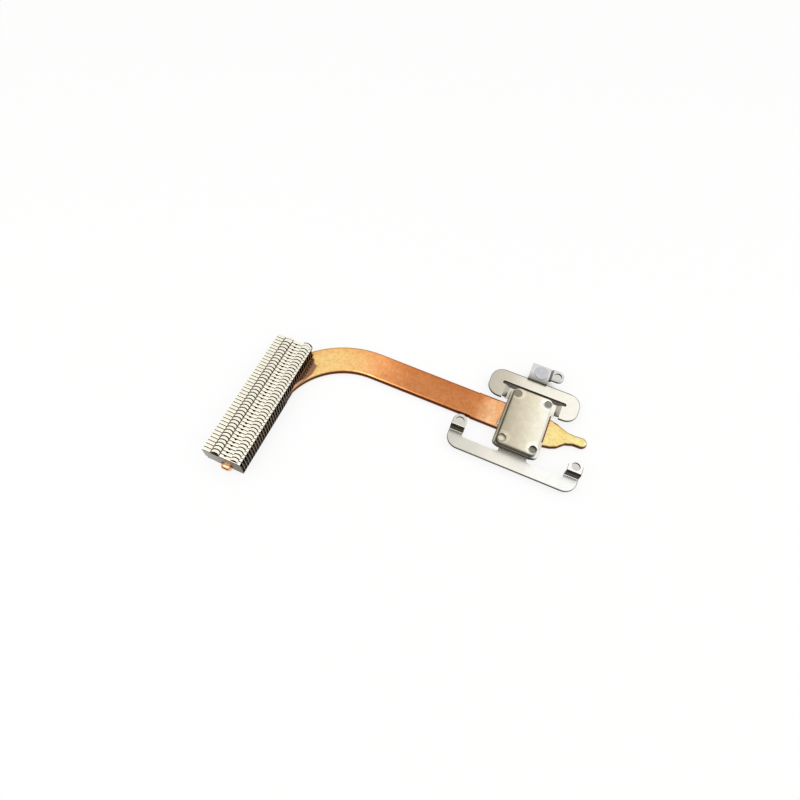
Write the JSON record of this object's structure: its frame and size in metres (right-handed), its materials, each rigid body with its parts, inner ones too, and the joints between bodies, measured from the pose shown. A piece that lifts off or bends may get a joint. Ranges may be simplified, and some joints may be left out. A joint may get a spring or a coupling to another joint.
{
  "type": "heatsink",
  "caption": "Laptop processor heatsink: zipper fin stack on a bent flat copper heat pipe, with a contact plate riveted to two sheet steel brackets.",
  "frame": {"origin": "centre of the contact plate's outer face, which touches the chip", "axes": "+Z out of the contact face, +X along the brackets away from the fin stack, +Y towards the single foot of the upper bracket"},
  "size_m": [0.1157, 0.0811, 0.0072],
  "materials": {
    "fin_sheet": "satin",
    "pipe_copper": "polished",
    "plate_copper": "nickel plated, lapped",
    "base_steel": "nickel plated",
    "bracket_steel": "zinc plated",
    "rivet_steel": "plain, peened",
    "pad_film": "matte",
    "solder": "satin"
  },
  "bodies": {
    "root": {"fin_01": "fin_sheet", "fin_02": "fin_sheet", "fin_03": "fin_sheet", "fin_04": "fin_sheet", "fin_05": "fin_sheet", "fin_06": "fin_sheet", "fin_07": "fin_sheet", "fin_08": "fin_sheet", "fin_09": "fin_sheet", "fin_10": "fin_sheet", "fin_11": "fin_sheet", "fin_12": "fin_sheet", "fin_13": "fin_sheet", "fin_14": "fin_sheet", "fin_15": "fin_sheet", "fin_16": "fin_sheet", "fin_17": "fin_sheet", "fin_18": "fin_sheet", "fin_19": "fin_sheet", "fin_20": "fin_sheet", "fin_21": "fin_sheet", "fin_22": "fin_sheet", "fin_23": "fin_sheet", "fin_24": "fin_sheet", "fin_25": "fin_sheet", "fin_26": "fin_sheet", "fin_27": "fin_sheet", "fin_28": "fin_sheet", "fin_29": "fin_sheet", "fin_30": "fin_sheet", "fin_31": "fin_sheet", "fin_32": "fin_sheet", "fin_33": "fin_sheet", "fin_34": "fin_sheet", "fin_35": "fin_sheet", "fin_36": "fin_sheet", "fin_37": "fin_sheet", "fin_38": "fin_sheet", "fin_39": "fin_sheet", "heat_pipe": "pipe_copper", "contact_plate": "plate_copper", "base_plate": "base_steel", "lower_bracket": "bracket_steel", "upper_bracket": "bracket_steel", "rivet_upper_left": "rivet_steel", "rivet_upper_right": "rivet_steel", "rivet_lower_left": "rivet_steel", "rivet_lower_right": "rivet_steel", "tab_pad": "pad_film", "solder_bead": "solder"}
  },
  "joints": []
}
